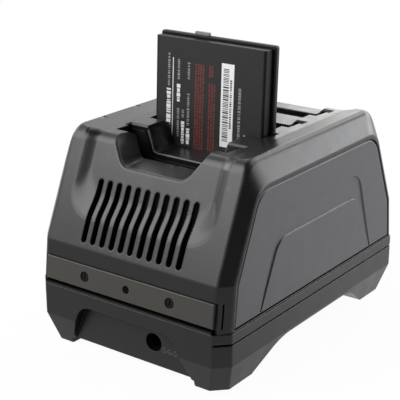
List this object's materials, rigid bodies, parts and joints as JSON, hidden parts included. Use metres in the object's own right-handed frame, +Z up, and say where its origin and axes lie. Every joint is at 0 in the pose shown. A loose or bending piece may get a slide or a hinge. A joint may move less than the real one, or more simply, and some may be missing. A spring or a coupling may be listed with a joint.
{
  "type": "battery charger",
  "caption": "Desktop multi-bay charger for slab batteries: sloped vented case on an arched base, leaning bays with sprung contacts, one battery standing in a bay.",
  "frame": {"origin": "on the table under the middle of the case", "axes": "+Z up, the front with the vents and the power inlet faces -Y, the status lights are on the -X side"},
  "size_m": [0.1, 0.1432, 0.1309],
  "materials": {
    "case_plastic": "fine-textured semi-matte black plastic",
    "panel_plastic": "fine-textured semi-matte black plastic",
    "base_plastic": "fine-textured semi-matte black plastic",
    "well_plastic": "matte black plastic",
    "strip_plastic": "satin dark grey plastic",
    "screw_steel": "blackened steel",
    "power_lens": "dark red-brown clear plastic",
    "status_lens": "smoke clear plastic",
    "lamp": "milky lamp body",
    "rubber": "matte rubber",
    "circuit_board": "green lacquered board",
    "chip": "moulded black package",
    "jack_plastic": "black moulded socket",
    "contact_metal": "gold-plated contact",
    "coil": "grey ferrite",
    "capacitor": "sleeved can",
    "connector": "natural nylon",
    "cable": "grey flat cable",
    "battery_case": "satin black plastic",
    "battery_cover": "matte black plastic",
    "tab_plastic": "matte grey plastic",
    "battery_label": "satin printed film"
  },
  "bodies": {
    "charger": {"base_tray": "base_plastic", "upper_casing": "case_plastic", "side_panel_left": "panel_plastic", "side_panel_right": "panel_plastic", "bay_well_1": "well_plastic", "bay_well_2": "well_plastic", "bay_well_3": "well_plastic", "bay_well_4": "well_plastic", "front_strip": "strip_plastic", "strip_screws": "screw_steel", "power_lens": "power_lens", "power_led": "lamp", "rubber_feet": "rubber", "casing_screws": "screw_steel", "power_board": "circuit_board", "power_board_screws": "screw_steel", "contact_board": "circuit_board", "contact_board_screws": "screw_steel", "charger_chips": "chip", "dc_jack": "jack_plastic", "dc_jack_pin": "screw_steel", "power_coils": "coil", "filter_capacitors": "capacitor", "board_connectors": "connector", "board_cable": "cable", "led_board": "circuit_board", "status_leds": "lamp", "status_lens_1": "status_lens", "status_lens_2": "status_lens", "status_lens_3": "status_lens", "status_lens_4": "status_lens", "contact_block_1": "connector", "contact_block_2": "connector", "contact_block_3": "connector", "contact_block_4": "connector"},
    "battery": {"battery_pack": "battery_case", "battery_cover": "battery_cover", "battery_tab": "tab_plastic", "battery_label": "battery_label", "battery_contacts": "contact_metal"},
    "contact_pins_1": {"contact_pins_1": "contact_metal"},
    "contact_pins_2": {"contact_pins_2": "contact_metal"},
    "contact_pins_3": {"contact_pins_3": "contact_metal"},
    "contact_pins_4": {"contact_pins_4": "contact_metal"}
  },
  "joints": [
    {"name": "battery_lift", "type": "slide", "parent": "charger", "child": "battery", "axis": [0, 0.0436, 0.999], "range_m": [0, 0.05]},
    {"name": "contact_press_1", "type": "slide", "parent": "charger", "child": "contact_pins_1", "axis": [0, 0.0436, 0.999], "range_m": [-0.0012, 0], "stiffness_N_per_m": 400, "springref_m": 0.0006},
    {"name": "contact_press_2", "type": "slide", "parent": "charger", "child": "contact_pins_2", "axis": [0, 0.0436, 0.999], "range_m": [-0.0006, 0], "stiffness_N_per_m": 400, "springref_m": 0.0012},
    {"name": "contact_press_3", "type": "slide", "parent": "charger", "child": "contact_pins_3", "axis": [0, 0.0436, 0.999], "range_m": [-0.0012, 0], "stiffness_N_per_m": 400, "springref_m": 0.0006},
    {"name": "contact_press_4", "type": "slide", "parent": "charger", "child": "contact_pins_4", "axis": [0, 0.0436, 0.999], "range_m": [-0.0012, 0], "stiffness_N_per_m": 400, "springref_m": 0.0006}
  ]
}
